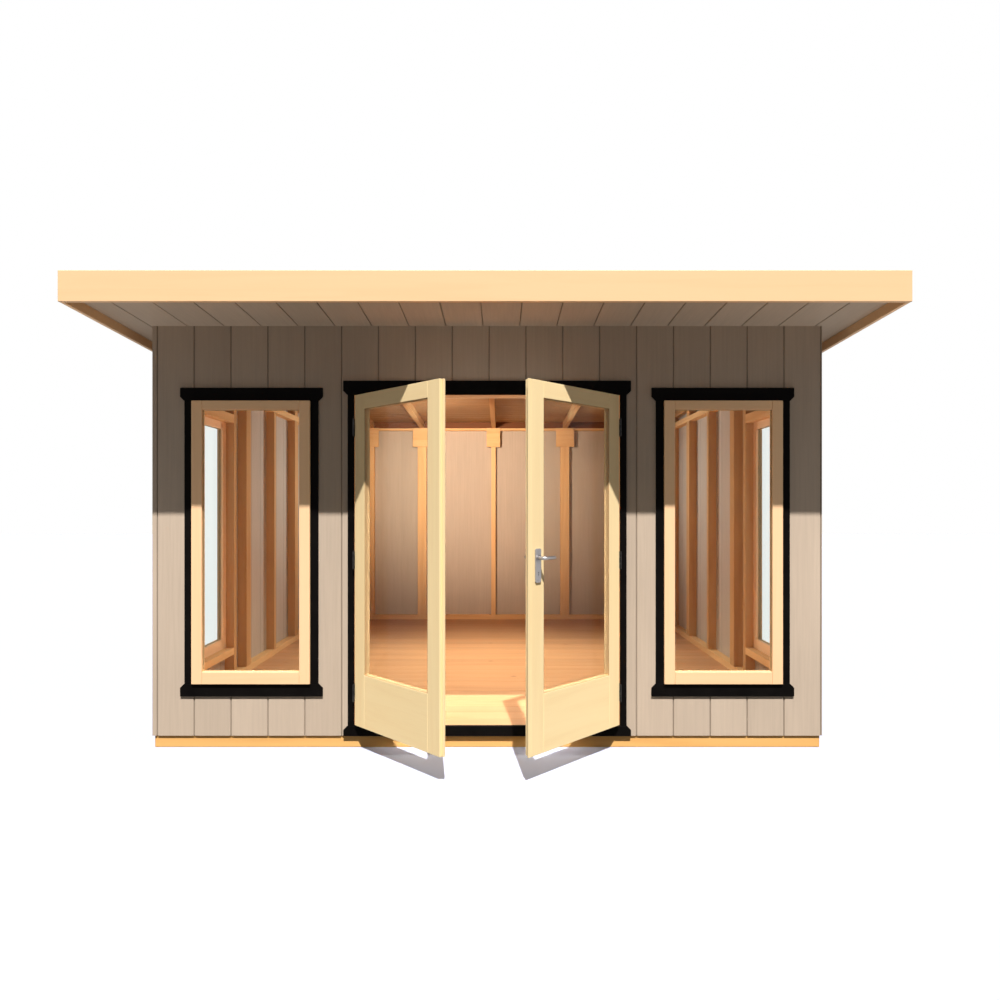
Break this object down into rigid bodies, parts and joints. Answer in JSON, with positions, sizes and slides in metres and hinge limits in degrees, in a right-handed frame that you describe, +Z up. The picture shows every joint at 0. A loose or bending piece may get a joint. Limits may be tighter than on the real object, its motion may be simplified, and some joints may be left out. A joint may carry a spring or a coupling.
{
  "type": "garden office pod",
  "caption": "Timber garden office with a shallow mono-pitch roof, glazed double doors that swing, and tall fixed windows.",
  "frame": {"origin": "centre of the plan, under the roof's outline, at ground level", "axes": "+X to the right seen from the doors, +Y from the doors to the rear wall, +Z up"},
  "size_m": [3.94, 4.389, 2.3854],
  "materials": {
    "cladding": "painted grey, grooved boards",
    "casing": "painted black",
    "joinery": "natural, smooth planed",
    "framing": "natural, sawn",
    "base": "natural, sawn",
    "floor": "natural boards",
    "roof_board": "natural boards",
    "soffit": "painted grey boards",
    "fascia": "natural, smooth planed",
    "membrane": "matt black sheet",
    "glass": "clear",
    "handle": "satin",
    "hinge": "black, satin"
  },
  "bodies": {
    "building": {"barge_boards": "fascia", "door_frame": "joinery", "door_sill": "casing", "door_stops": "joinery", "door_trim": "casing", "fascia_front": "fascia", "fascia_rear": "fascia", "floor_deck": "floor", "floor_frame": "base", "front_wall_left": "cladding", "front_wall_over_door": "cladding", "front_wall_plates": "framing", "front_wall_right": "cladding", "front_wall_studs": "framing", "front_window_frames": "joinery", "front_window_trims": "casing", "hinge_frame_halves": "hinge", "left_wall_cladding": "cladding", "rafter_gussets": "framing", "rafters": "framing", "rear_wall_cladding": "cladding", "rear_wall_plates": "framing", "rear_wall_studs": "framing", "right_wall_cladding": "cladding", "roof_deck": "roof_board", "roof_membrane": "membrane", "roof_noggins": "framing", "side_wall_plates": "framing", "side_wall_studs": "framing", "side_window_frames": "joinery", "side_window_trims": "casing", "soffit_front": "soffit", "soffit_rear": "soffit", "soffit_sides": "soffit", "window_panes": "glass"},
    "left_door": {"door_left_glass": "glass", "door_left_hinges": "hinge", "door_left_rails": "joinery", "door_left_stiles": "joinery"},
    "right_door": {"door_right_glass": "glass", "door_right_hinges": "hinge", "door_right_rails": "joinery", "door_right_stiles": "joinery", "door_handle_plates": "handle"},
    "lever": {"door_lever": "handle"}
  },
  "joints": [
    {"name": "left_door_hinge", "type": "hinge", "parent": "building", "child": "left_door", "pos_m": [-0.713, -1.6725, 1], "axis": [0, 0, -1], "range_deg": [-45, 120]},
    {"name": "right_door_hinge", "type": "hinge", "parent": "building", "child": "right_door", "pos_m": [0.713, -1.6725, 1], "axis": [0, 0, 1], "range_deg": [-45, 120]},
    {"name": "lever_turn", "type": "hinge", "parent": "right_door", "child": "lever", "pos_m": [0.23252, -2.12045, 1.055], "axis": [-0.7071, 0.7071, 0], "range_deg": [0, 40], "stiffness_Nm_per_rad": 1, "springref_deg": -20.05}
  ]
}
